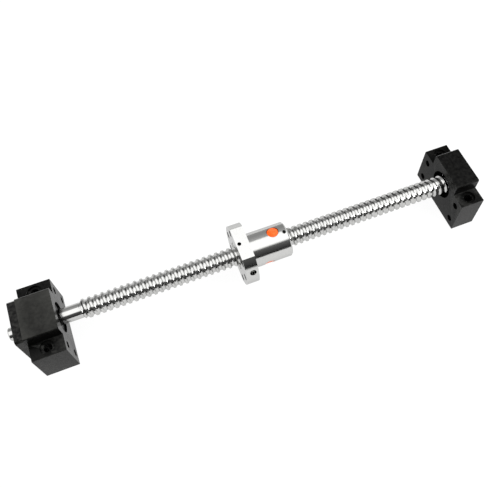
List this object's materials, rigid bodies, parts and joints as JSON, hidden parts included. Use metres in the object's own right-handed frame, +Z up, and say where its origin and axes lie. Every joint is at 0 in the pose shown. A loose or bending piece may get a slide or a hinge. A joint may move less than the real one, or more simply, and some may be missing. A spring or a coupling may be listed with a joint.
{
  "type": "ball screw assembly",
  "caption": "Horizontal ball screw with a flanged nut that travels along it, carried by a fixed-side and a floating-side pillow support.",
  "frame": {"origin": "middle of the footprint, on the plane that both supports stand on", "axes": "+X along the screw from the drive end to the floating end, +Z up from the supports' bases"},
  "size_m": [0.3766, 0.06, 0.0461],
  "materials": {
    "black_oxide": "satin black oxide",
    "ground_steel": "ground and polished",
    "bearing_steel": "polished",
    "black_rubber": "matte",
    "orange_plastic": "moulded",
    "wiper_plastic": "moulded"
  },
  "bodies": {
    "supports": {"fixed_support_housing": "black_oxide", "fixed_support_cover": "black_oxide", "cover_screw_1": "black_oxide", "cover_screw_2": "black_oxide", "cover_screw_3": "black_oxide", "cover_screw_4": "black_oxide", "cover_dust_seal": "black_rubber", "housing_dust_seal": "black_rubber", "fixed_bearing_a_outer_ring": "bearing_steel", "fixed_bearing_b_outer_ring": "bearing_steel", "floating_support_housing": "black_oxide", "floating_bearing_outer_ring": "bearing_steel", "floating_bearing_left_shield": "bearing_steel", "floating_bearing_right_shield": "bearing_steel"},
    "screw": {"screw_shaft": "ground_steel", "shaft_snap_ring": "black_oxide", "outer_collar": "bearing_steel", "inner_collar": "black_oxide", "fixed_bearing_a_inner_ring": "bearing_steel", "fixed_bearing_b_inner_ring": "bearing_steel", "floating_bearing_inner_ring": "bearing_steel"},
    "nut": {"nut_body": "ground_steel", "left_wiper": "wiper_plastic", "right_wiper": "wiper_plastic", "left_wiper_set_screw": "black_oxide", "right_wiper_set_screw": "black_oxide", "return_insert_1": "orange_plastic", "return_insert_2": "orange_plastic", "return_insert_3": "orange_plastic", "nut_ball_circuit_1": "bearing_steel", "nut_ball_circuit_2": "bearing_steel", "nut_ball_circuit_3": "bearing_steel"},
    "fixed_bearing_a_cage": {"fixed_bearing_a_balls_and_cage": "bearing_steel"},
    "fixed_bearing_b_cage": {"fixed_bearing_b_balls_and_cage": "bearing_steel"},
    "floating_bearing_cage": {"floating_bearing_balls_and_cage": "bearing_steel"}
  },
  "joints": [
    {"name": "screw_spin", "type": "hinge", "parent": "supports", "child": "screw", "pos_m": [0, 0, 0.025], "axis": [1, 0, 0], "range_deg": [-9760, 8320]},
    {"name": "nut_travel", "type": "slide", "parent": "supports", "child": "nut", "axis": [1, 0, 0], "range_m": [-0.115, 0.135]},
    {"name": "fixed_bearing_a_roll", "type": "hinge", "parent": "supports", "child": "fixed_bearing_a_cage", "pos_m": [-0.16705, 0, 0.025], "axis": [1, 0, 0], "range_deg": [-3850, 3280]},
    {"name": "fixed_bearing_b_roll", "type": "hinge", "parent": "supports", "child": "fixed_bearing_b_cage", "pos_m": [-0.15875, 0, 0.025], "axis": [1, 0, 0], "range_deg": [-3850, 3280]},
    {"name": "floating_bearing_roll", "type": "hinge", "parent": "supports", "child": "floating_bearing_cage", "pos_m": [0.17985, 0, 0.025], "axis": [1, 0, 0], "range_deg": [-3750, 3190]}
  ],
  "couplings": [
    {"joint": "screw_spin", "follows": "nut_travel", "rad_per_m": -1256.6},
    {"joint": "fixed_bearing_a_roll", "follows": "nut_travel", "rad_per_m": -496.37},
    {"joint": "fixed_bearing_b_roll", "follows": "nut_travel", "rad_per_m": -496.37},
    {"joint": "floating_bearing_roll", "follows": "nut_travel", "rad_per_m": -481.67}
  ]
}
